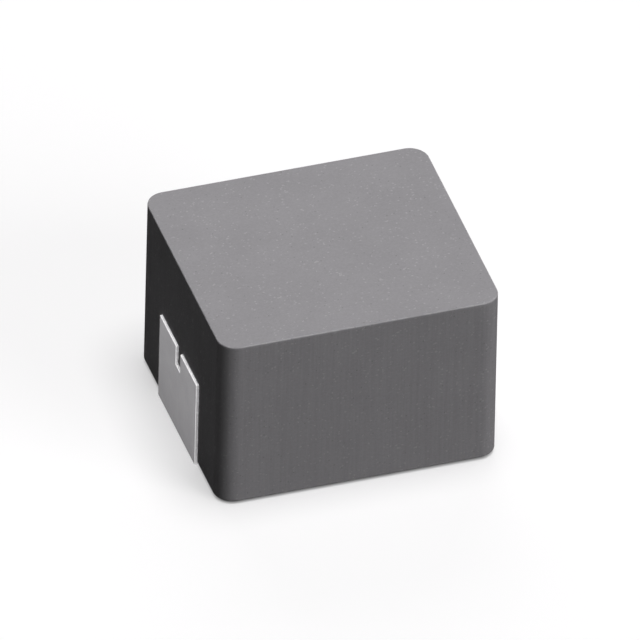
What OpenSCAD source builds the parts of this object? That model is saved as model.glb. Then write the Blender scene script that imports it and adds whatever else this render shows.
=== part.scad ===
// Shielded surface-mount inductor. A flat-wire winding lies inside a block of pressed iron-powder
// composite, which is its core, its shield and its housing, and a solder terminal wraps each end.
// X runs from terminal to terminal and Z points up from the circuit board. The origin is on the
// board, under the middle of the part.

/* [Body] */
// Length of the block, from one terminal wall to the other
body_l = 7.35; // [6.8:0.05:8.5]
// Width of the block, across the terminals
body_w = 6.6; // [6:0.05:8.5]
// Height of the block
body_h = 4.85; // [3.8:0.05:6.5]
// Radius of the four upright corners
corner_r = 0.5; // [0.2:0.05:1.2]
// Small bevel that the pressing tool leaves round the top and the underside
edge_bevel = 0.03; // [0.01:0.01:0.15]

/* [Terminals] */
// Width of the terminal strip
terminal_w = 3; // [2.4:0.1:4]
// Thickness of the terminal strip
terminal_t = 0.12; // [0.1:0.01:0.2]
// Outside radius of both bends of the strip, which the forming tool squeezes sharp
bend_out = 0.02; // [0.02:0.01:0.1]
// Inside radius of both bends of the strip
bend_in = 0.03; // [0.01:0.01:0.1]
// Length of the foot under the block, from the outer face of the leg
foot_l = 1.6; // [0.8:0.1:2.4]
// Height of the underside of the block above the circuit board
standoff = 0.09; // [0.02:0.01:0.09]
// Depth of the recess in the wall that the leg lies in
recess_d = 0.055; // [0.01:0.005:0.09]
// Clearance beside the leg and the foot in their recesses
recess_gap = 0.02; // [0.01:0.01:0.1]
// Width of the notch in the middle of the upper bend
notch_w = 0.35; // [0.2:0.05:0.6]
// Depth of the notch down the leg, from the top of the tab
notch_d = 0.58; // [0.3:0.02:1.2]
// Length of the notch along the tab, from the wall inwards
notch_in = 0.3; // [0.1:0.05:0.4]
// Clearance between the notch and the rib of powder that stands in it
rib_gap = 0.02; // [0.01:0.01:0.05]

/* [Winding] */
// Rings of wire in each of the two layers
rings = 4; // [2:1:4]
// Diameter of the open middle of the coil
coil_bore = 2.2; // [1.6:0.1:2.6]
// Thickness of the flat wire, from ring to ring
wire_t = 0.34; // [0.2:0.02:0.4]
// Height of the flat wire, along the axis of the coil
wire_h = 1.15; // [0.6:0.05:1.5]
// Corner cut along the four edges of the wire
wire_edge = 0.08; // [0.02:0.01:0.09]
// Thickness of the enamel film round the wire
enamel = 0.015; // [0.01:0.005:0.03]
// Angle before the X axis at which each wire end leaves the coil
lead_angle = 30; // [20:5:40]
// Bend radius of the wire ends as they turn along the tabs, to the middle of the wire
lead_r = 0.7; // [0.5:0.05:1]
// Clearance round the wire ends
lead_gap = 0.03; // [0.02:0.01:0.1]
// Powder between the coil and the inner end of each tab
tab_gap = 0.2; // [0.1:0.05:0.3]
// Powder between each wire end and the wall
end_cover = 0.2; // [0.1:0.05:0.3]

/* [Hidden] */
$fn = 96;

// Terminals: the strip leaves the block with its top halfway up, and the middle plane of the
// tabs is that of the winding
tab_z = standoff + body_h / 2;
mid_z = tab_z - terminal_t / 2;
wall_x = body_l / 2;
leg_in = wall_x - recess_d;
leg_out = leg_in + terminal_t;
foot_end = leg_out - foot_l;

// Winding: the rings lie a wire and two films of enamel apart, and so do the two layers
ring_pitch = wire_t + 2 * enamel;
first_ring = coil_bore / 2 + wire_t / 2;
last_ring = first_ring + (rings - 1) * ring_pitch;
coil_r = last_ring + wire_t / 2;
layer_z = wire_h / 2 + enamel;
room_z = wire_h + 2 * enamel;
weld_lift = terminal_t / 2 - enamel;
tab_end = coil_r + tab_gap;

// The wire changes layer over twice this angle, and changes ring over what is left of a turn
layer_change = 120;
turn_step = 10;
lead_turn = 90 - lead_angle;
coil_turn = 360 * (rings - 1) + lead_turn;
coil_steps = round(coil_turn / turn_step);
lead_steps = round(lead_turn / turn_step);
lead_centre = [(last_ring + lead_r) * cos(lead_angle), -(last_ring + lead_r) * sin(lead_angle)];
lead_end = wall_x - end_cover;

// Each wire end climbs onto its tab over this share of its bend, which is before it is over the tab
climb = 0.5;

// How far a cut runs past the surface that it opens
past = 1;

// ---- powder body ----

module bevelled_side(width) {
    polygon([
        [-width / 2 + edge_bevel, 0], [width / 2 - edge_bevel, 0],
        [width / 2, edge_bevel], [width / 2, body_h - edge_bevel],
        [width / 2 - edge_bevel, body_h], [-width / 2 + edge_bevel, body_h],
        [-width / 2, body_h - edge_bevel], [-width / 2, edge_bevel]
    ]);
}

module corner_post() {
    rotate_extrude() intersection() {
        bevelled_side(2 * corner_r);
        square([corner_r + past, body_h]);
    }
}

module block() {
    straight_l = body_l - 2 * corner_r;
    straight_w = body_w - 2 * corner_r;
    translate([0, 0, standoff]) {
        translate([-straight_l / 2, 0, 0])
            rotate([90, 0, 90]) linear_extrude(straight_l) bevelled_side(body_w);
        translate([0, straight_w / 2, 0])
            rotate([90, 0, 0]) linear_extrude(straight_w) bevelled_side(body_l);
        for (x = [-straight_l / 2, straight_l / 2], y = [-straight_w / 2, straight_w / 2])
            translate([x, y, 0]) corner_post();
    }
}

// Powder that is left standing in the recess, level with the wall, and fills the notch
module notch_rib() {
    width = notch_w - 2 * rib_gap;
    translate([leg_in - past, -width / 2, tab_z - notch_d + rib_gap])
        cube([recess_d + 3 * past, width, notch_d + past]);
}

// Room for one leg and foot, open to the wall and to the underside
module strip_recess() {
    width = terminal_w + 2 * recess_gap;
    difference() {
        translate([leg_in, -width / 2, -past])
            cube([recess_d + past, width, tab_z + past]);
        notch_rib();
    }
    translate([foot_end - recess_gap, -width / 2, -past])
        cube([foot_l + recess_gap + past, width, terminal_t + past]);
}

// Room for the coil, which the powder fills in the middle
module coil_room() {
    translate([0, 0, mid_z - room_z]) rotate_extrude()
        translate([coil_bore / 2 - enamel, 0])
            square([coil_r - coil_bore / 2 + 2 * enamel, 2 * room_z]);
}

// Room for the wire end that lies on the right tab
module lead_room() {
    width = wire_t + 2 * lead_gap;
    translate([lead_centre.x, lead_centre.y, mid_z]) {
        rotate([0, 0, 90]) rotate_extrude(angle = lead_turn)
            translate([lead_r - width / 2, 0]) square([width, room_z]);
        translate([0, lead_r - width / 2, 0])
            cube([lead_end - lead_centre.x + lead_gap, width, room_z]);
    }
}

// The left wire end is the right one turned half round about the Y axis through the middle plane
module turned_over() {
    translate([0, 0, 2 * mid_z]) rotate([0, 180, 0]) children();
}

module powder_body() {
    color([0.36, 0.355, 0.36]) difference() {
        block();
        coil_room();
        lead_room();
        turned_over() lead_room();
        for (side = [0, 1]) mirror([side, 0, 0]) {
            strip_recess();
            strip();
        }
    }
}

// ---- terminals ----

// A rectangle to the left of the origin and below it, with its corner there rounded
module rounded_corner(length, height, radius) {
    translate([-length, -height]) {
        square([length - radius, height]);
        square([length, height - radius]);
    }
    translate([-radius, -radius]) circle(radius);
}

// Most of the strip seen from its edge: an arm, a bend and the leg as far as the other bend
module hook(arm) {
    leg = tab_z - bend_out;
    difference() {
        rounded_corner(arm, leg, bend_out);
        translate([-terminal_t, -terminal_t]) rounded_corner(arm, leg, bend_in);
    }
}

// The tab is the upper hook's arm, the foot is the lower one's, and the two share the leg
module strip_profile() {
    translate([leg_out, tab_z]) hook(leg_out - tab_end);
    translate([leg_out, 0]) mirror([0, 1]) hook(foot_l);
}

module strip() {
    difference() {
        rotate([90, 0, 0]) linear_extrude(terminal_w, center = true) strip_profile();
        translate([wall_x - notch_in, -notch_w / 2, tab_z - notch_d])
            cube([notch_in + terminal_t + past, notch_w, notch_d + past]);
    }
}

module terminal_right() {
    color([0.78, 0.78, 0.79]) strip();
}

module terminal_left() {
    color([0.78, 0.78, 0.79]) mirror([1, 0, 0]) strip();
}

// ---- winding ----

function smooth(u) = u * u * (3 - 2 * u);

// How many rings out the wire is, this far round from the middle of its length
function ring_at(turn) =
    let (whole = floor(turn / 360), part = turn - 360 * whole)
    whole + (part <= layer_change ? 0
        : part >= 360 - layer_change ? 1
        : smooth((part - layer_change) / (360 - 2 * layer_change)));

function layer_at(turn) = turn < layer_change ? sin(90 * turn / layer_change) : 1;

// A station on the wire is [x, y, height over the middle plane, heading, share of its full height]
function coil_station(turn) =
    let (r = first_ring + ring_pitch * ring_at(turn))
    [r * sin(turn), -r * cos(turn), layer_z * layer_at(turn), turn, 1];

// The wire end is pressed flatter as it climbs onto the tab, and its top stays level
function lead_station(u) =
    let (heading = lead_turn * (1 - u), lift = weld_lift * smooth(min(1, u / climb)))
    [
        lead_centre.x - lead_r * sin(heading), lead_centre.y + lead_r * cos(heading),
        layer_z + lift / 2, heading, 1 - lift / wire_h
    ];

upper_half = [
    for (i = [0:coil_steps]) coil_station(coil_turn * i / coil_steps),
    for (i = [1:lead_steps]) lead_station(i / lead_steps),
    [lead_end, lead_centre.y + lead_r, layer_z + weld_lift / 2, 0, 1 - weld_lift / wire_h]
];
lower_half = [
    for (i = [len(upper_half) - 1:-1:1])
        let (s = upper_half[i]) [-s.x, s.y, -s.z, -s[3], s[4]]
];
stations = concat(lower_half, upper_half);

// Half the section of the wire, as [across, up] from its middle. The other half is its opposite
half_section = [
    [wire_t / 2 - wire_edge, -wire_h / 2], [wire_t / 2, -wire_h / 2 + wire_edge],
    [wire_t / 2, wire_h / 2 - wire_edge], [wire_t / 2 - wire_edge, wire_h / 2]
];
section = concat(half_section, -half_section);

module winding() {
    sides = len(section);
    last = len(stations) - 1;
    color([0.72, 0.42, 0.26]) translate([0, 0, mid_z]) polyhedron(
        points = [
            for (s = stations, p = section)
                [s.x - p.x * sin(s[3]), s.y + p.x * cos(s[3]), s.z + p.y * s[4]]
        ],
        faces = concat(
            [[for (j = [0:sides - 1]) j]],
            [
                for (i = [0:last - 1], j = [0:sides - 1])
                    let (a = i * sides + j, b = i * sides + (j + 1) % sides)
                    each [[a, a + sides, b], [b, a + sides, b + sides]]
            ],
            [[for (j = [sides - 1:-1:0]) last * sides + j]]
        )
    );
}

powder_body();
winding();
terminal_left();
terminal_right();
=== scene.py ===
"""Looks of a shielded surface-mount inductor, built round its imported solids.

Laid out as an add-on: the sizes and colours are properties, each piece has an operator, and one
panel in the 3D view's sidebar lists them. Lengths are in metres.
"""

import math

import bmesh
import bpy
from bpy.props import FloatProperty, FloatVectorProperty, PointerProperty
from mathutils import Matrix, Vector


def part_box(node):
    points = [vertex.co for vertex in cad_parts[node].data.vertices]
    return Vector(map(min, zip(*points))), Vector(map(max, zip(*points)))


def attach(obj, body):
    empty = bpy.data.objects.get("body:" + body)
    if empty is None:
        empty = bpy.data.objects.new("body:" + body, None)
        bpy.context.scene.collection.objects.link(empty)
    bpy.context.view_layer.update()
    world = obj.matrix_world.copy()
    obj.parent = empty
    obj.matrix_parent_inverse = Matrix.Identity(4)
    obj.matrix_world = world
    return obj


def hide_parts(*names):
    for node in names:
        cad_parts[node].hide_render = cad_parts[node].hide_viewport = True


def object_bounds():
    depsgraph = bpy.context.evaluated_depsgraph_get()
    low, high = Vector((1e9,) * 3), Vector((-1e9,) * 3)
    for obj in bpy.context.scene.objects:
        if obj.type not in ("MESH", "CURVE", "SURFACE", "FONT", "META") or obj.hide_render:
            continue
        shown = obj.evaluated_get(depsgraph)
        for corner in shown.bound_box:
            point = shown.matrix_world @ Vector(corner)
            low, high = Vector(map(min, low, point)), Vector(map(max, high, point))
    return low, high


bl_info = {
    "name": "Shielded inductor looks",
    "version": (1, 0, 0),
    "blender": (4, 5, 0),
    "location": "View3D > Sidebar > Inductor",
    "description": "Dresses the solids of a surface-mount inductor and sets its stage",
    "category": "Object",
}

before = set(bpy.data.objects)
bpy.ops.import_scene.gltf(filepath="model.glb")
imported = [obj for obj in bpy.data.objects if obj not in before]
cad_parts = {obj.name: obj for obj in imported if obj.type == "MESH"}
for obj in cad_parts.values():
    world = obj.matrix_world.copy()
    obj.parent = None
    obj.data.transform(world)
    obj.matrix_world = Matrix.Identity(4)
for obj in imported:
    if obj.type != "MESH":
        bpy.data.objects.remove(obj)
cad_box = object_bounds()

MM = 0.001
BODY_LOW, BODY_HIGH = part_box("powder_body")
CLIP_LOW, CLIP_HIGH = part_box("terminal_right")
COIL_LOW, COIL_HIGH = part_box("winding")

# The coil's widest ring passes its near side, and its two layers meet at the middle height
COIL_RADIUS = -COIL_LOW.y
MIDDLE_Z = (COIL_LOW.z + COIL_HIGH.z) / 2

# Points less than NEAR apart are one point, and a cut takes in points within ON_PLANE of it
NEAR = 1e-7
ON_PLANE = 1e-9

# How many faces a rounding has, and how many the coil's round room has
CORNER_STEPS = 24
RIM_STEPS = 3
BEND_STEPS = 8
ROUND_STEPS = 96

# Parts of a normal along an axis, for a face that is square to it, about square to it or along it
SQUARE = 0.9999
FACING = 0.9
ALONG = 0.1

# The face attribute that holds wear on the block and a painted highlight on the strips, from 0 to
# 1, and the narrow band beside the block's rims that has a light wear. On the strips the weight is
# full on the cut faces, which are partly bare cut metal and partly a painted highlight, and where
# a face turns up by more than one over the last factor below, a painted highlight that stands in
# for light from above
WEAR_AND_HIGHLIGHT = "wear_and_highlight"
WORN_BAND = 0.05 * MM
LIGHT_WEAR = 0.35
# How sharply the painted highlight on the strips' upturned faces comes to full
UPTURN_HIGHLIGHT = 1.6

# Ranges of a pattern over which its mask goes from 0 to 1
NOISE_RANGE = (0.3, 0.7)
PATCH_RANGE = (0.35, 0.6)
SPECK_RANGE = (0.965, 0.985)
PORE_RANGE = (0.955, 0.965)
PORE_DEPTH_RANGE = (0.5, 0.9)

# Range of a normal's upright part over which a wall turns into a lid, and a grain's reach in cells
WALL_RANGE = (0.2, 0.5)
GRAIN_REACH = 0.8

# Each finish is a level, and what each detail adds to it where the detail's mask is 1
POWDER_TONE = (0.945, {
    "grains": 0.07, "clouds": 0.04, "walls": 0.035, "drag": -0.07, "wear_and_highlight": 0.16, "pores": -0.2,
})
POWDER_ROUGHNESS = (0.9, {"clouds": -0.08, "wear_and_highlight": -0.2, "specks": -0.35})
POWDER_HEIGHT = (0.0, {"domes": 1.0, "pores": -1.6, "drag": 0.5})
TIN_TONE = (0.905, {"crystals": 0.07, "rolling": 0.06, "clouds": 0.06})
TIN_ROUGHNESS = (0.38, {"clouds": 0.1, "rolling": 0.06, "wear_and_highlight": 0.25})
TIN_HEIGHT = (0.0, {"domes": 1.0, "rolling": 0.6})
COPPER_TONE = (1.01, {"drawing": 0.1, "clouds": -0.12})
COPPER_ROUGHNESS = (0.24, {"clouds": 0.12})

# How much of a speck's own colour shows, and how many grains wide a pore's cell is
SPECK_COVER = 0.3
PORE_CELLS = 1 / 0.6

# Half the floor's side, its colour where light bounces off it, the world's even light on the part,
# and how far away the camera is
FLOOR_HALF = 2.0
FLOOR_BOUNCE = (0.06, 0.06, 0.06, 1)
WORLD_LIGHT = 0.03
CAMERA_DISTANCE = 100 * MM

# Each lamp's name, its direction from the part, its level and its spread in degrees
LAMPS = (
    ("key", (0.255, -0.33, 0.16), 0.445, 35),
    ("overhead", (0.07, -0.04, 1.0), 0.735, 32),
    ("back", (0.15, 0.8, 0.5), 0.2, 40),
)


# ---- sizes and colours ----


class BodySizes(bpy.types.PropertyGroup):
    """Sizes and colours of the pressed block."""

    corner_radius: FloatProperty(
        name="Corner radius", description="Radius of the four upright corners",
        default=0.5 * MM, min=0.1 * MM, max=1.2 * MM, unit="LENGTH", precision=5,
    )
    edge_radius: FloatProperty(
        name="Edge radius", description="Rounding of the top and bottom edges",
        default=0.03 * MM, min=0.01 * MM, max=0.15 * MM, unit="LENGTH", precision=5,
    )
    recess_gap: FloatProperty(
        name="Recess gap", description="Clearance beside each terminal in its recess",
        default=0.02 * MM, min=0.0, max=0.1 * MM, unit="LENGTH", precision=5,
    )
    powder_colour: FloatVectorProperty(
        name="Powder", description="Colour of the pressed iron powder",
        default=(0.290, 0.282, 0.294), size=3, min=0.0, max=1.0, subtype="COLOR",
    )
    speck_colour: FloatVectorProperty(
        name="Specks", description="Colour of the bare metal grains",
        default=(0.46, 0.45, 0.46), size=3, min=0.0, max=1.0, subtype="COLOR",
    )
    grain_size: FloatProperty(
        name="Grain size", description="Width of the powder grains",
        default=0.04 * MM, min=0.02 * MM, max=0.2 * MM, unit="LENGTH", precision=5,
    )


class TerminalSizes(bpy.types.PropertyGroup):
    """Sizes and colours of the terminal strips."""

    thickness: FloatProperty(
        name="Thickness", description="Thickness of the terminal strip",
        default=0.12 * MM, min=0.08 * MM, max=0.2 * MM, unit="LENGTH", precision=5,
    )
    outer_bend: FloatProperty(
        name="Outer bend", description="Outside radius of the strip's bends",
        default=0.03 * MM, min=0.01 * MM, max=0.15 * MM, unit="LENGTH", precision=5,
    )
    inner_bend: FloatProperty(
        name="Inner bend", description="Inside radius of the strip's bends",
        default=0.03 * MM, min=0.01 * MM, max=0.1 * MM, unit="LENGTH", precision=5,
    )
    sheared_edge: FloatProperty(
        name="Sheared edge",
        description="Rounding that the cut leaves along the strip's outer edges",
        default=0.014 * MM, min=0.005 * MM, max=0.05 * MM, unit="LENGTH", precision=5,
    )
    tab_gap: FloatProperty(
        name="Tab gap", description="Powder between the coil and the end of each tab",
        default=0.2 * MM, min=0.1 * MM, max=0.4 * MM, unit="LENGTH", precision=5,
    )
    notch_width: FloatProperty(
        name="Notch width", description="Width of the notch in the upper bend",
        default=0.35 * MM, min=0.2 * MM, max=0.6 * MM, unit="LENGTH", precision=5,
    )
    notch_depth: FloatProperty(
        name="Notch depth", description="Depth of the notch from the top of the tab",
        default=0.58 * MM, min=0.3 * MM, max=1.2 * MM, unit="LENGTH", precision=5,
    )
    notch_inside: FloatProperty(
        name="Notch inside", description="Length of the notch along the tab",
        default=0.3 * MM, min=0.1 * MM, max=0.4 * MM, unit="LENGTH", precision=5,
    )
    rib_gap: FloatProperty(
        name="Rib gap", description="Clearance between the notch and the rib of powder in it",
        default=0.02 * MM, min=0.0, max=0.05 * MM, unit="LENGTH", precision=5,
    )
    # The tin is set darker than bare matt tin, a painted shade; its upturned faces take the
    # near-white colour below as a painted highlight
    shaded_tin_colour: FloatVectorProperty(
        name="Tin", description="Colour of the matt tin plating",
        default=(0.261, 0.255, 0.264), size=3, min=0.0, max=1.0, subtype="COLOR",
    )
    # Near-white for the cut edges, partly bare cut metal and partly a painted highlight, and for
    # the upper bend and other faces that turn up, a painted highlight
    cut_edge_and_highlight_colour: FloatVectorProperty(
        name="Sheared metal", description="Colour of the raw cut edges and of the upper bend",
        default=(0.97, 0.965, 0.97), size=3, min=0.0, max=1.0, subtype="COLOR",
    )


class WindingSizes(bpy.types.PropertyGroup):
    """Sizes and colour of the enamelled wire, and the room that it needs in the powder."""

    coil_bore: FloatProperty(
        name="Coil bore", description="Diameter of the open middle of the coil",
        default=2.2 * MM, min=1.6 * MM, max=2.6 * MM, unit="LENGTH", precision=5,
    )
    wire_thickness: FloatProperty(
        name="Wire thickness", description="Thickness of the flat wire, from ring to ring",
        default=0.34 * MM, min=0.2 * MM, max=0.4 * MM, unit="LENGTH", precision=5,
    )
    enamel: FloatProperty(
        name="Enamel", description="Thickness of the enamel film round the wire",
        default=0.015 * MM, min=0.01 * MM, max=0.03 * MM, unit="LENGTH", precision=5,
    )
    lead_angle: FloatProperty(
        name="Lead angle",
        description="Angle before the X axis at which a wire end leaves the coil",
        default=math.radians(30), min=math.radians(20), max=math.radians(40), subtype="ANGLE",
    )
    lead_bend: FloatProperty(
        name="Lead bend", description="Bend radius of the wire ends, to the middle of the wire",
        default=0.7 * MM, min=0.5 * MM, max=1 * MM, unit="LENGTH", precision=5,
    )
    lead_gap: FloatProperty(
        name="Lead gap", description="Clearance round the wire ends",
        default=0.03 * MM, min=0.01 * MM, max=0.1 * MM, unit="LENGTH", precision=5,
    )
    copper_colour: FloatVectorProperty(
        name="Copper", description="Colour of the wire under its enamel",
        default=(0.52, 0.2, 0.09), size=3, min=0.0, max=1.0, subtype="COLOR",
    )


class StageSettings(bpy.types.PropertyGroup):
    """Camera, light and floor."""

    azimuth: FloatProperty(
        name="Azimuth", description="Turn of the camera round the part",
        default=math.radians(-18.5), subtype="ANGLE",
    )
    elevation: FloatProperty(
        name="Elevation", description="Height of the camera over the floor",
        default=math.radians(37.85), subtype="ANGLE",
    )
    roll: FloatProperty(
        name="Roll", description="Turn of the camera about its own axis",
        default=math.radians(1.38), subtype="ANGLE",
    )
    view_width: FloatProperty(
        name="View width", description="Width that the camera takes in",
        default=15.97 * MM, min=8 * MM, max=60 * MM, unit="LENGTH", precision=5,
    )
    view_rise: FloatProperty(
        name="View rise", description="Middle of the view above the middle of the part",
        default=0.149 * MM, unit="LENGTH", precision=5,
    )
    view_slide: FloatProperty(
        name="View slide", description="Middle of the view to the right of the middle of the part",
        default=-0.022 * MM, unit="LENGTH", precision=5,
    )
    floor_colour: FloatVectorProperty(
        name="Floor", description="Colour of the floor and the backdrop",
        default=(0.995, 0.99, 0.995), size=3, min=0.0, max=1.0, subtype="COLOR",
    )
    floor_glow: FloatProperty(
        name="Floor glow", description="Share of the floor's brightness that the shadow leaves",
        default=0.45, min=0.0, max=1.0,
    )
    # The width over which the floor's glow fades under the block, a painted contact shadow
    painted_contact_shadow_width: FloatProperty(
        name="Contact fade", description="Width of the rim under the block where the glow fades",
        default=0.15 * MM, min=0.01 * MM, max=2 * MM, unit="LENGTH", precision=5,
    )


# ---- mesh helpers ----


def finished(name, bm, material):
    """The bmesh as a new object with its material."""
    mesh = bpy.data.meshes.new(name)
    bm.to_mesh(mesh)
    bm.free()
    mesh.materials.append(material)
    piece = bpy.data.objects.new(name, mesh)
    bpy.context.scene.collection.objects.link(piece)
    return piece


def bevel(bm, edges, radius, steps):
    """Rounds edges to a radius, in a number of steps."""
    bmesh.ops.bevel(
        bm, geom=edges, offset=radius, offset_type="OFFSET", segments=steps,
        profile=0.5, affect="EDGES", clamp_overlap=True, material=-1,
    )


def cut(bm, point, normal):
    """Cuts the whole mesh by a plane, keeping both sides."""
    bmesh.ops.bisect_plane(
        bm, geom=bm.verts[:] + bm.edges[:] + bm.faces[:], dist=ON_PLANE,
        plane_co=point, plane_no=normal,
    )


def smooth_the_rounded(bm):
    """Leaves faces square to an axis flat, and smooths the rest."""
    bm.normal_update()
    for face in bm.faces:
        face.smooth = max(abs(part) for part in face.normal) < SQUARE


def turned(bm, axis, height=0.0):
    """Turns the whole mesh half round about an axis at some height."""
    bmesh.ops.rotate(
        bm, cent=(0, 0, height), matrix=Matrix.Rotation(math.pi, 3, axis), verts=bm.verts
    )


def notched_sheet(bm, sizes, course):
    """A thin sheet along a course of (x, z) places, as wide as the strip, with its notch."""
    half, notch_half = CLIP_HIGH.y, sizes.notch_width / 2
    x, z = course[0]
    across = [bm.verts.new((x, y, z)) for y in (-half, -notch_half, notch_half, half)]
    line = [bm.edges.new(pair) for pair in zip(across, across[1:])]
    for x, z in course[1:]:
        made = bmesh.ops.extrude_edge_only(bm, edges=line)["geom"]
        verts = [v for v in made if isinstance(v, bmesh.types.BMVert)]
        for vert in verts:
            vert.co.x, vert.co.z = x, z
        line = [
            e for e in made
            if isinstance(e, bmesh.types.BMEdge) and all(v in verts for v in e.verts)
        ]
    notch = [f for f in bm.faces if in_notch(sizes, f.calc_center_median())]
    bmesh.ops.delete(bm, geom=notch, context="FACES")
    bmesh.ops.recalc_face_normals(bm, faces=bm.faces)


def in_notch(sizes, point):
    """Whether a point of the right strip is in its notch, or on the notch's sides."""
    return (
        abs(point.y) < sizes.notch_width / 2
        and point.x > BODY_HIGH.x - sizes.notch_inside - NEAR
        and point.z > CLIP_HIGH.z - sizes.notch_depth - NEAR
    )


def tab_course(sizes):
    """The tab of the right strip, from its inner end to the start of the notch."""
    top = CLIP_HIGH.z
    return [(COIL_RADIUS + sizes.tab_gap, top), (BODY_HIGH.x - sizes.notch_inside, top)]


# ---- body ----


def make_body(sizes, strip, wire, material):
    """The pressed block with rounded corners and edges, its recesses and the rooms inside."""
    bm = bmesh.new()
    bmesh.ops.create_cube(bm, size=1)
    bmesh.ops.scale(bm, vec=BODY_HIGH - BODY_LOW, verts=bm.verts)
    bmesh.ops.translate(bm, vec=(BODY_LOW + BODY_HIGH) / 2, verts=bm.verts)
    upright = [e for e in bm.edges if abs(e.verts[0].co.z - e.verts[1].co.z) > NEAR]
    bevel(bm, upright, sizes.corner_radius, CORNER_STEPS)
    bm.normal_update()
    rims = [
        e for e in bm.edges
        if any(abs(f.normal.z) > FACING for f in e.link_faces)
        and any(abs(f.normal.z) < ALONG for f in e.link_faces)
    ]
    bevel(bm, rims, sizes.edge_radius, RIM_STEPS)
    add_wear_bands(bm, sizes)
    recess_for_terminals(bm, sizes, strip)
    block = finished("pressed_block", bm, material)
    rooms = (
        coil_room(wire), lead_room(wire, 1), lead_room(wire, -1),
        tab_slot(strip, 1), tab_slot(strip, -1),
    )
    carve(block, [finished("room", room, material) for room in rooms])
    return block


def add_wear_bands(bm, sizes):
    """A full wear weight on the rims, and a light one on a narrow band beside them."""
    band = sizes.edge_radius + WORN_BAND
    for z in (BODY_LOW.z + band, BODY_HIGH.z - band):
        cut(bm, (0, 0, z), (0, 0, 1))
    bm.normal_update()
    lids = [f for f in bm.faces if abs(f.normal.z) > SQUARE]
    rings = bmesh.ops.inset_region(bm, faces=lids, thickness=WORN_BAND, use_even_offset=True)
    wear_and_highlight = bm.faces.layers.float.new(WEAR_AND_HIGHLIGHT)
    bm.normal_update()
    for face in bm.faces:
        middle = face.calc_center_median()
        on_wall = min(middle.z - BODY_LOW.z, BODY_HIGH.z - middle.z) < band
        if ALONG < abs(face.normal.z) < SQUARE:
            face[wear_and_highlight] = 1.0
        elif face in rings["faces"] or (on_wall and abs(face.normal.z) < ALONG):
            face[wear_and_highlight] = LIGHT_WEAR


def recess_for_terminals(bm, sizes, strip):
    """Sinks the walls and the underside where the terminals lie, but for a rib in each notch."""
    half = CLIP_HIGH.y + sizes.recess_gap
    inner = CLIP_LOW.x - sizes.recess_gap
    back = CLIP_HIGH.x - strip.thickness
    rib_half = strip.notch_width / 2 - strip.rib_gap
    rib_floor = CLIP_HIGH.z - strip.notch_depth + strip.rib_gap
    for side in (-1, 1):
        cut(bm, (0, side * half, 0), (0, 1, 0))
        cut(bm, (0, side * rib_half, 0), (0, 1, 0))
        cut(bm, (side * inner, 0, 0), (1, 0, 0))
    for z in (CLIP_HIGH.z, rib_floor):
        cut(bm, (0, 0, z), (0, 0, 1))
    for side in (-1, 1):
        region = []
        for face in bm.faces:
            middle = face.calc_center_median()
            inside = abs(middle.y) < half and middle.z < CLIP_HIGH.z
            rib = abs(middle.y) < rib_half and middle.z > rib_floor
            if inside and not rib and side * middle.x > inner:
                region.append(face)
        made = bmesh.ops.extrude_face_region(bm, geom=region)
        for vert in made["geom"]:
            if isinstance(vert, bmesh.types.BMVert):
                vert.co.x = side * min(side * vert.co.x, back)
                vert.co.z = max(vert.co.z, strip.thickness)
        bmesh.ops.delete(bm, geom=region, context="FACES")
    # The lower rim ends about as high as the strip is thick, and the two levels are made one
    bmesh.ops.remove_doubles(bm, verts=bm.verts, dist=NEAR)
    # The slots for the tabs start from exactly the height at which the recesses end
    for vert in bm.verts:
        if abs(vert.co.z - CLIP_HIGH.z) < NEAR:
            vert.co.z = CLIP_HIGH.z


# ---- rooms inside the block ----


def section_loop(bm, inner, outer, low, high):
    """The corners and edges of a rectangle in the XZ plane."""
    corners = ((inner, low), (outer, low), (outer, high), (inner, high))
    verts = [bm.verts.new((x, 0, z)) for x, z in corners]
    return verts, [bm.edges.new((verts[i - 1], verts[i])) for i in range(len(verts))]


def coil_room(wire):
    """The ring-shaped room for the coil."""
    bm = bmesh.new()
    verts, edges = section_loop(
        bm, wire.coil_bore / 2 - wire.enamel, COIL_RADIUS + wire.enamel,
        COIL_LOW.z - wire.enamel, COIL_HIGH.z + wire.enamel,
    )
    bmesh.ops.spin(
        bm, geom=verts + edges, cent=(0, 0, 0), axis=(0, 0, 1), angle=2 * math.pi,
        steps=ROUND_STEPS, use_merge=True, use_normal_flip=False, use_duplicate=False,
    )
    bmesh.ops.recalc_face_normals(bm, faces=bm.faces)
    return bm


def lead_room(wire, side):
    """The room for one wire end: it bends away from the coil and runs out over the tab."""
    bm = bmesh.new()
    half = wire.wire_thickness / 2 + wire.lead_gap
    reach = COIL_RADIUS - wire.wire_thickness / 2 + wire.lead_bend
    bend = math.pi / 2 - wire.lead_angle
    centre = Vector((reach * math.cos(wire.lead_angle), -reach * math.sin(wire.lead_angle), 0))
    verts, edges = section_loop(
        bm, wire.lead_bend - half, wire.lead_bend + half, MIDDLE_Z, COIL_HIGH.z + wire.enamel
    )
    bmesh.ops.rotate(
        bm, cent=(0, 0, 0), matrix=Matrix.Rotation(math.pi / 2 + bend, 3, "Z"), verts=verts
    )
    bmesh.ops.translate(bm, vec=centre, verts=verts)
    last = bmesh.ops.spin(
        bm, geom=verts + edges, cent=centre, axis=(0, 0, -1), angle=bend,
        steps=CORNER_STEPS, use_merge=False, use_normal_flip=False, use_duplicate=False,
    )["geom_last"]
    end = [e for e in last if isinstance(e, bmesh.types.BMEdge)]
    made = bmesh.ops.extrude_edge_only(bm, edges=end)["geom"]
    for vert in made:
        if isinstance(vert, bmesh.types.BMVert):
            vert.co.x = COIL_HIGH.x + wire.lead_gap
    bmesh.ops.holes_fill(bm, edges=bm.edges, sides=4)
    bmesh.ops.recalc_face_normals(bm, faces=bm.faces)
    if side < 0:
        turned(bm, "Y", MIDDLE_Z)
    return bm


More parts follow.
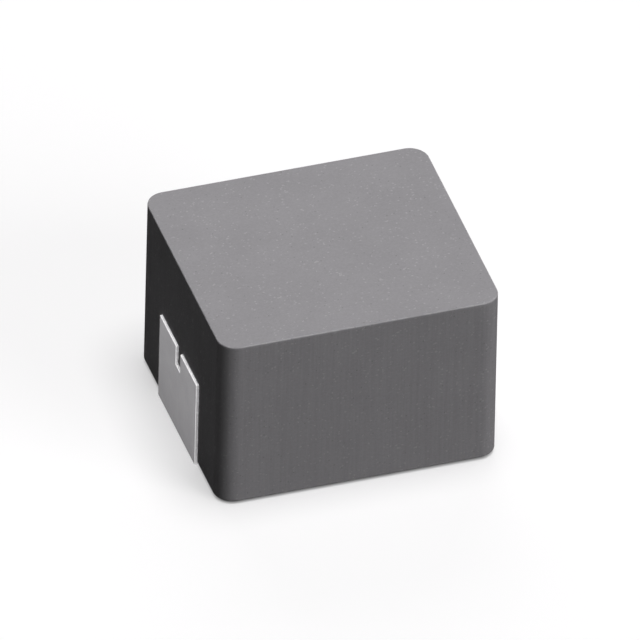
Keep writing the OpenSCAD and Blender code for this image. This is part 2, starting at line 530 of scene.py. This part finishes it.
def tab_slot(strip, side):
    """The slot for one tab, open to the recess."""
    bm = bmesh.new()
    # Its mouth is in the open, halfway between the back of the recess and the wall
    mouth = (CLIP_HIGH.x - strip.thickness + BODY_HIGH.x) / 2
    notched_sheet(bm, strip, tab_course(strip) + [(mouth, CLIP_HIGH.z)])
    made = bmesh.ops.extrude_face_region(bm, geom=bm.faces[:])["geom"]
    verts = [v for v in made if isinstance(v, bmesh.types.BMVert)]
    bmesh.ops.translate(bm, vec=(0, 0, -strip.thickness), verts=verts)
    bmesh.ops.recalc_face_normals(bm, faces=bm.faces)
    if side < 0:
        turned(bm, "Z")
    return bm


def carve(block, rooms):
    """Takes the rooms out of the block, and clears them away."""
    for room in rooms:
        cutter = block.modifiers.new("room", "BOOLEAN")
        cutter.object, cutter.operation, cutter.solver = room, "DIFFERENCE", "EXACT"
    carved = block.evaluated_get(bpy.context.evaluated_depsgraph_get())
    bm = bmesh.new()
    bm.from_mesh(carved.to_mesh())
    carved.to_mesh_clear()
    block.modifiers.clear()
    for room in rooms:
        bpy.data.meshes.remove(room.data)
    bmesh.ops.remove_doubles(bm, verts=bm.verts, dist=NEAR)
    smooth_the_rounded(bm)
    bm.to_mesh(block.data)
    bm.free()


# ---- terminals ----


def make_terminal(name, side, sizes, material):
    """One strip: a sheet laid out with its notch, given its thickness, and rounded."""
    outer, top = CLIP_HIGH.x, CLIP_HIGH.z
    bm = bmesh.new()
    notched_sheet(bm, sizes, tab_course(sizes) + [
        (outer, top), (outer, top - sizes.notch_depth), (outer, 0), (CLIP_LOW.x, 0),
    ])
    bmesh.ops.solidify(bm, geom=bm.faces[:], thickness=sizes.thickness)
    bmesh.ops.recalc_face_normals(bm, faces=bm.faces)
    round_bends(bm, sizes)
    round_long_edges(bm, sizes)
    if side < 0:
        turned(bm, "Z")
    smooth_the_rounded(bm)
    return finished(name, bm, material)


def round_bends(bm, sizes):
    """Rounds both bends on the outside and on the inside."""
    outer, top, thick = CLIP_HIGH.x, CLIP_HIGH.z, sizes.thickness
    for x, z, radius in (
        (outer, top, sizes.outer_bend), (outer, 0, sizes.outer_bend),
        (outer - thick, top - thick, sizes.inner_bend), (outer - thick, thick, sizes.inner_bend),
    ):
        corner = Vector((x, 0, z))
        edges = [
            e for e in bm.edges
            if all((Vector((v.co.x, 0, v.co.z)) - corner).length < NEAR for v in e.verts)
        ]
        bevel(bm, edges, radius, BEND_STEPS)


def round_long_edges(bm, sizes):
    """Rounds the outer edges all along the strip and in the notch, as the cut leaves them.

    It also weighs the faces for the near-white colour: the cut faces, partly bare cut metal and
    partly a painted highlight, and the faces that turn up, a painted highlight.
    """
    bm.normal_update()
    heart = Vector((0, 0, CLIP_HIGH.z / 2))

    def cut_face(face):
        return abs(face.normal.y) > FACING or in_notch(sizes, face.calc_center_median())

    def outside(face):
        return not cut_face(face) and face.normal.dot(face.calc_center_median() - heart) > 0

    wear_and_highlight = bm.faces.layers.float.new(WEAR_AND_HIGHLIGHT)
    edges = [
        e for e in bm.edges
        if any(cut_face(f) for f in e.link_faces) and any(outside(f) for f in e.link_faces)
    ]
    bevel(bm, edges, sizes.sheared_edge, RIM_STEPS)
    bmesh.ops.remove_doubles(bm, verts=bm.verts, dist=NEAR)
    bm.normal_update()
    # Cut faces get a full weight, partly bare cut metal and partly a painted highlight; faces that
    # turn up get a painted highlight of light from above
    for face in bm.faces:
        sheared = cut_face(face) or abs(face.normal.y) > ALONG
        face[wear_and_highlight] = 1.0 if sheared else min(1.0, UPTURN_HIGHLIGHT * max(0.0, face.normal.z))


# ---- node helpers ----


def feed(tree, made, inputs):
    """Gives a node its inputs: each is a socket to link from, or a value."""
    for key, value in inputs.items():
        if isinstance(value, bpy.types.NodeSocket):
            tree.links.new(value, made.inputs[key])
        else:
            made.inputs[key].default_value = value


def node(tree, kind, inputs=None, **settings):
    """Adds a shader node with its settings and inputs."""
    made = tree.nodes.new("ShaderNode" + kind)
    for name, value in settings.items():
        setattr(made, name, value)
    feed(tree, made, inputs or {})
    return made


def maths(tree, operation, *values):
    """The output of one Math node."""
    return node(tree, "Math", dict(enumerate(values)), operation=operation).outputs[0]


def ranged(tree, value, start, end, low=0.0, high=1.0):
    """A value carried smoothly from one range to another."""
    inputs = {"Value": value, "From Min": start, "From Max": end, "To Min": low, "To Max": high}
    return node(tree, "MapRange", inputs, interpolation_type="SMOOTHSTEP").outputs["Result"]


def blended(tree, factor, first, second):
    """Two colours mixed by a mask."""
    inputs = {"Factor": factor, "A": first, "B": second}
    return node(tree, "Mix", inputs, data_type="RGBA").outputs["Result"]


def tinted(tree, colour, tone):
    """A colour made lighter or darker by a tone that is about 1."""
    inputs = {0: colour, "Scale": tone}
    return node(tree, "VectorMath", inputs, operation="SCALE").outputs[0]


def summed(tree, finish, details):
    """The level of a finish, with what each detail adds to it."""
    level, shares = finish
    for name, share in shares.items():
        level = maths(tree, "MULTIPLY_ADD", details[name], share, level)
    return level


def new_group(name, inputs, outputs):
    """An empty node group with its sockets, and its input and output nodes."""
    tree = bpy.data.node_groups.new(name, "ShaderNodeTree")
    for socket, kind in inputs.items():
        tree.interface.new_socket(socket, in_out="INPUT", socket_type="NodeSocket" + kind)
    for socket, kind in outputs.items():
        tree.interface.new_socket(socket, in_out="OUTPUT", socket_type="NodeSocket" + kind)
    given, wanted = tree.nodes.new("NodeGroupInput"), tree.nodes.new("NodeGroupOutput")
    return tree, given.outputs, wanted.inputs


def placed(tree, group, inputs):
    """A node group placed in a material with its own values."""
    return node(tree, "Group", inputs, node_tree=group).outputs


# ---- shared effects ----


def grain_group():
    """Packed grains: a random value for each grain, and the height of its dome."""
    tree, given, wanted = new_group(
        "Grain", {"Vector": "Vector", "Grains per metre": "Float"},
        {"Random": "Float", "Height": "Float"},
    )
    cells = node(
        tree, "TexVoronoi", {"Vector": given["Vector"], "Scale": given["Grains per metre"]},
        feature="F1",
    )
    split = node(tree, "SeparateColor", {"Color": cells.outputs["Color"]})
    tree.links.new(split.outputs[0], wanted["Random"])
    dome = ranged(tree, cells.outputs["Distance"], 0.0, GRAIN_REACH, 1.0, 0.0)
    tree.links.new(dome, wanted["Height"])
    return tree


def streaks_group():
    """Fine lines along one direction: stretch holds how much each axis is drawn out."""
    tree, given, wanted = new_group(
        "Streaks", {"Vector": "Vector", "Stretch": "Vector", "Lines per metre": "Float"},
        {"Value": "Float"},
    )
    drawn = node(
        tree, "VectorMath", {0: given["Vector"], 1: given["Stretch"]}, operation="MULTIPLY"
    ).outputs[0]
    lines = node(
        tree, "TexNoise",
        {"Vector": drawn, "Scale": given["Lines per metre"], "Detail": 3.0, "Roughness": 0.6},
    )
    tree.links.new(ranged(tree, lines.outputs["Fac"], *NOISE_RANGE), wanted["Value"])
    return tree


def clouds_group():
    """Slow, soft changes over the surface."""
    tree, given, wanted = new_group(
        "Clouds", {"Vector": "Vector", "Patches per metre": "Float"}, {"Value": "Float"}
    )
    noise = node(
        tree, "TexNoise",
        {"Vector": given["Vector"], "Scale": given["Patches per metre"], "Detail": 3.0},
    )
    tree.links.new(ranged(tree, noise.outputs["Fac"], *NOISE_RANGE), wanted["Value"])
    return tree


def edge_wear_and_highlight_group():
    """A broken mask along the edges, from the weights of the mesh: wear on the block, and painted
    highlights on the strips' cut edges and upturned faces.
    """
    tree, given, wanted = new_group(
        "Edge wear", {"Vector": "Vector", "Marks per metre": "Float", "Least": "Float"},
        {"Mask": "Float"},
    )
    weight = node(tree, "Attribute", attribute_name=WEAR_AND_HIGHLIGHT).outputs["Fac"]
    noise = node(
        tree, "TexNoise",
        {"Vector": given["Vector"], "Scale": given["Marks per metre"], "Detail": 4.0},
    )
    patches = ranged(tree, noise.outputs["Fac"], *PATCH_RANGE)
    patches = maths(tree, "MAXIMUM", patches, given["Least"])
    tree.links.new(maths(tree, "MULTIPLY", weight, patches), wanted["Mask"])
    return tree


def effects():
    """The shared node groups, each made once."""
    made = bpy.data.node_groups
    return {
        "grain": made.get("Grain") or grain_group(),
        "streaks": made.get("Streaks") or streaks_group(),
        "clouds": made.get("Clouds") or clouds_group(),
        "edge wear": made.get("Edge wear") or edge_wear_and_highlight_group(),
    }


# ---- materials ----


def new_material(name):
    """A material with its shader and the object coordinates."""
    material = bpy.data.materials.new(name)
    material.use_nodes = True
    tree = material.node_tree
    shader = tree.nodes["Principled BSDF"]
    place = node(tree, "TexCoord").outputs["Object"]
    return material, tree, shader, place


def powder_material(sizes, groups):
    """Pressed iron powder: packed grains, bare metal specks, pores and lines left by the die."""
    material, tree, shader, place = new_material("pressed_powder")
    grains = placed(tree, groups["grain"], {
        "Vector": place, "Grains per metre": 1 / sizes.grain_size,
    })
    pits = placed(tree, groups["grain"], {
        "Vector": place, "Grains per metre": 1 / (PORE_CELLS * sizes.grain_size),
    })
    clouds = placed(tree, groups["clouds"], {"Vector": place, "Patches per metre": 900.0})
    drag = placed(tree, groups["streaks"], {
        "Vector": place, "Stretch": (1.0, 1.0, 0.03), "Lines per metre": 14000.0,
    })
    wear_and_highlight = placed(tree, groups["edge wear"], {
        "Vector": place, "Marks per metre": 6000.0, "Least": 0.2,
    })
    normal = node(tree, "NewGeometry").outputs["Normal"]
    rise = node(tree, "SeparateXYZ", {"Vector": normal}).outputs["Z"]
    walls = ranged(tree, maths(tree, "ABSOLUTE", rise), *WALL_RANGE, 1.0, 0.0)
    pores = maths(
        tree, "MULTIPLY", ranged(tree, pits["Random"], *PORE_RANGE),
        ranged(tree, pits["Height"], *PORE_DEPTH_RANGE),
    )
    details = {
        "grains": grains["Random"], "domes": grains["Height"], "clouds": clouds["Value"],
        "walls": walls, "drag": maths(tree, "MULTIPLY", drag["Value"], walls), "pores": pores,
        "specks": ranged(tree, grains["Random"], *SPECK_RANGE), "wear_and_highlight": wear_and_highlight["Mask"],
    }
    powder = tinted(tree, sizes.powder_colour, summed(tree, POWDER_TONE, details))
    specked = maths(tree, "MULTIPLY", details["specks"], SPECK_COVER)
    bump = node(tree, "Bump", {
        "Height": summed(tree, POWDER_HEIGHT, details), "Distance": 1.6e-6, "Strength": 0.6,
    })
    feed(tree, shader, {
        "Base Color": blended(tree, specked, powder, (*sizes.speck_colour, 1)),
        "Roughness": summed(tree, POWDER_ROUGHNESS, details),
        "Normal": bump.outputs["Normal"],
        "Specular IOR Level": 0.015,
    })
    return material


def tin_material(sizes, groups):
    """Matt tin plating: fine crystals over the rolling lines of the strip.

    The cut edges and the faces that turn up get a near-white painted highlight, partly bare cut
    metal on the cut edges.
    """
    material, tree, shader, place = new_material("tin_plating")
    crystals = placed(tree, groups["grain"], {"Vector": place, "Grains per metre": 45000.0})
    rolling = placed(tree, groups["streaks"], {
        "Vector": place, "Stretch": (0.03, 1.0, 0.03), "Lines per metre": 30000.0,
    })
    clouds = placed(tree, groups["clouds"], {"Vector": place, "Patches per metre": 1800.0})
    wear_and_highlight = placed(tree, groups["edge wear"], {
        "Vector": place, "Marks per metre": 9000.0, "Least": 0.9,
    })
    details = {
        "crystals": crystals["Random"], "domes": crystals["Height"],
        "rolling": rolling["Value"], "clouds": clouds["Value"], "wear_and_highlight": wear_and_highlight["Mask"],
    }
    # The tin colour is darkened below bare tin, a painted shade
    tin = tinted(tree, sizes.shaded_tin_colour, summed(tree, TIN_TONE, details))
    bump = node(tree, "Bump", {
        "Height": summed(tree, TIN_HEIGHT, details), "Distance": 0.6e-6, "Strength": 0.6,
    })
    feed(tree, shader, {
        # The mask lays the near-white painted highlight over the tin, partly bare cut metal on the
        # cut faces
        "Base Color": blended(tree, wear_and_highlight["Mask"], tin, (*sizes.cut_edge_and_highlight_colour, 1)),
        "Roughness": summed(tree, TIN_ROUGHNESS, details),
        "Normal": bump.outputs["Normal"],
        "Metallic": 1.0,
    })
    return material


def copper_material(wire, groups):
    """Flat copper wire under a clear amber enamel."""
    material, tree, shader, place = new_material("enamelled_copper")
    drawing = placed(tree, groups["streaks"], {
        "Vector": place, "Stretch": (0.2, 0.2, 1.0), "Lines per metre": 20000.0,
    })
    clouds = placed(tree, groups["clouds"], {"Vector": place, "Patches per metre": 1200.0})
    details = {"drawing": drawing["Value"], "clouds": clouds["Value"]}
    bump = node(tree, "Bump", {"Height": drawing["Value"], "Distance": 1e-6, "Strength": 0.4})
    feed(tree, shader, {
        "Base Color": tinted(tree, wire.copper_colour, summed(tree, COPPER_TONE, details)),
        "Roughness": summed(tree, COPPER_ROUGHNESS, details),
        "Normal": bump.outputs["Normal"],
        "Metallic": 1.0,
        "Coat Weight": 0.6,
        "Coat Roughness": 0.12,
    })
    return material


# ---- stage ----


def seen_directly(tree):
    """A mask of 1 for camera, glossy and transmission rays, and 0 for the rest."""
    path = node(tree, "LightPath").outputs
    seen = maths(tree, "MAXIMUM", path["Is Camera Ray"], path["Is Glossy Ray"])
    return maths(tree, "MAXIMUM", seen, path["Is Transmission Ray"])


def outside_block(tree, place, corner_radius):
    """How far a point of the floor is outside the outline of the block, less than 0 under it."""
    corner = (BODY_HIGH.x - corner_radius, BODY_HIGH.y - corner_radius, 0)
    past = node(tree, "VectorMath", {0: place}, operation="ABSOLUTE").outputs[0]
    past = node(tree, "VectorMath", {0: past, 1: corner}, operation="SUBTRACT").outputs[0]
    past = node(tree, "VectorMath", {0: past, 1: (0, 0, 0)}, operation="MAXIMUM").outputs[0]
    reach = node(tree, "VectorMath", {0: past}, operation="LENGTH").outputs["Value"]
    return maths(tree, "SUBTRACT", reach, corner_radius)


def make_floor(settings, corner_radius):
    """A wide pale floor that keeps a light shadow and throws little light back up, with a painted
    contact shadow under the block where its glow fades out.
    """
    bm = bmesh.new()
    bmesh.ops.create_grid(bm, x_segments=1, y_segments=1, size=FLOOR_HALF)
    material, tree, shader, place = new_material("studio_floor")
    seen = seen_directly(tree)
    pale = Vector(settings.floor_colour)
    lit, glowing = pale * (1 - settings.floor_glow), pale * settings.floor_glow
    # Under the block the glow fades out, which paints a contact shadow there
    clear = ranged(tree, outside_block(tree, place, corner_radius), -settings.painted_contact_shadow_width, 0.0)
    glow = maths(tree, "MULTIPLY", seen, clear)
    feed(tree, shader, {
        "Base Color": blended(tree, seen, FLOOR_BOUNCE, (*lit, 1)),
        "Emission Color": blended(tree, glow, (0, 0, 0, 1), (*glowing, 1)),
        "Emission Strength": 1.0,
        "Roughness": 1.0,
        "Specular IOR Level": 0.0,
    })
    finished("studio_floor", bm, material)


def make_world():
    """White where it is seen, and a low even light on the part."""
    world = bpy.data.worlds.new("studio")
    world.use_nodes = True
    tree = world.node_tree
    level = maths(tree, "MULTIPLY_ADD", seen_directly(tree), 1 - WORLD_LIGHT, WORLD_LIGHT)
    feed(tree, tree.nodes["Background"], {"Color": (1, 1, 1, 1), "Strength": level})
    bpy.context.scene.world = world


def add_sun(name, towards, level, spread):
    """A soft lamp far away: level is the light that a face square to it gets."""
    lamp = bpy.data.lights.new(name, "SUN")
    lamp.energy = level * math.pi
    lamp.angle = math.radians(spread)
    sun = bpy.data.objects.new(name, lamp)
    sun.rotation_euler = Vector(towards).to_track_quat("Z", "Y").to_euler()
    bpy.context.scene.collection.objects.link(sun)


def add_camera(settings):
    """An orthographic camera aimed at the middle of the part."""
    low, high = (Vector(corner) for corner in cad_box)
    azimuth, elevation = settings.azimuth, settings.elevation
    back = Vector((
        math.sin(azimuth) * math.cos(elevation),
        -math.cos(azimuth) * math.cos(elevation),
        math.sin(elevation),
    ))
    level = Vector((math.cos(azimuth), math.sin(azimuth), 0))
    across = Matrix.Rotation(settings.roll, 3, back) @ level
    up = back.cross(across)
    lens = bpy.data.cameras.new("camera")
    lens.type = "ORTHO"
    lens.ortho_scale = settings.view_width
    lens.clip_start = MM
    camera = bpy.data.objects.new("camera", lens)
    axes = Matrix((across, up, back)).transposed().to_4x4()
    middle = (low + high) / 2 + up * settings.view_rise + across * settings.view_slide
    camera.matrix_world = Matrix.Translation(middle + back * CAMERA_DISTANCE) @ axes
    bpy.context.scene.collection.objects.link(camera)
    bpy.context.scene.camera = camera


# ---- operators ----


class INDUCTOR_OT_body(bpy.types.Operator):
    """Make the pressed block"""

    bl_idname = "inductor.body"
    bl_label = "Make the block"

    def execute(self, context):
        scene = context.scene
        sizes = scene.inductor_body
        material = powder_material(sizes, effects())
        block = make_body(sizes, scene.inductor_terminals, scene.inductor_winding, material)
        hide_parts("powder_body")
        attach(block, "root")
        return {"FINISHED"}


class INDUCTOR_OT_terminals(bpy.types.Operator):
    """Make both terminals"""

    bl_idname = "inductor.terminals"
    bl_label = "Make the terminals"

    def execute(self, context):
        sizes = context.scene.inductor_terminals
        material = tin_material(sizes, effects())
        for side, clip in ((-1, "terminal_left"), (1, "terminal_right")):
            strip = make_terminal(clip + "_strip", side, sizes, material)
            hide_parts(clip)
            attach(strip, "root")
        return {"FINISHED"}


class INDUCTOR_OT_winding(bpy.types.Operator):
    """Give the winding its finish"""

    bl_idname = "inductor.winding"
    bl_label = "Finish the winding"

    def execute(self, context):
        copper = copper_material(context.scene.inductor_winding, effects())
        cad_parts["winding"].material_slots[0].material = copper
        return {"FINISHED"}


class INDUCTOR_OT_stage(bpy.types.Operator):
    """Set up the floor, the light and the camera"""

    bl_idname = "inductor.stage"
    bl_label = "Set the stage"

    def execute(self, context):
        settings = context.scene.inductor_stage
        make_floor(settings, context.scene.inductor_body.corner_radius)
        make_world()
        for lamp in LAMPS:
            add_sun(*lamp)
        add_camera(settings)
        context.scene.view_settings.view_transform = "Standard"
        return {"FINISHED"}


class INDUCTOR_PT_panel(bpy.types.Panel):
    """Sizes, colours and operators of the inductor"""

    bl_label = "Inductor"
    bl_space_type = "VIEW_3D"
    bl_region_type = "UI"
    bl_category = "Inductor"

    def draw(self, context):
        for group, operator in zip(GROUPS, OPERATORS):
            box = self.layout.box()
            for name in GROUPS[group].__annotations__:
                box.prop(getattr(context.scene, group), name)
            box.operator(operator.bl_idname)


GROUPS = {
    "inductor_stage": StageSettings,
    "inductor_body": BodySizes,
    "inductor_terminals": TerminalSizes,
    "inductor_winding": WindingSizes,
}
OPERATORS = (
    INDUCTOR_OT_stage, INDUCTOR_OT_body, INDUCTOR_OT_terminals, INDUCTOR_OT_winding,
)


def register():
    for name, group in GROUPS.items():
        bpy.utils.register_class(group)
        setattr(bpy.types.Scene, name, PointerProperty(type=group))
    for cls in (*OPERATORS, INDUCTOR_PT_panel):
        bpy.utils.register_class(cls)


def unregister():
    for cls in reversed((*OPERATORS, INDUCTOR_PT_panel)):
        bpy.utils.unregister_class(cls)
    for name in reversed(GROUPS):
        delattr(bpy.types.Scene, name)
        bpy.utils.unregister_class(GROUPS[name])


def main():
    register()
    bpy.ops.inductor.stage()
    bpy.ops.inductor.body()
    bpy.ops.inductor.terminals()
    bpy.ops.inductor.winding()


if __name__ == "__main__":
    main()
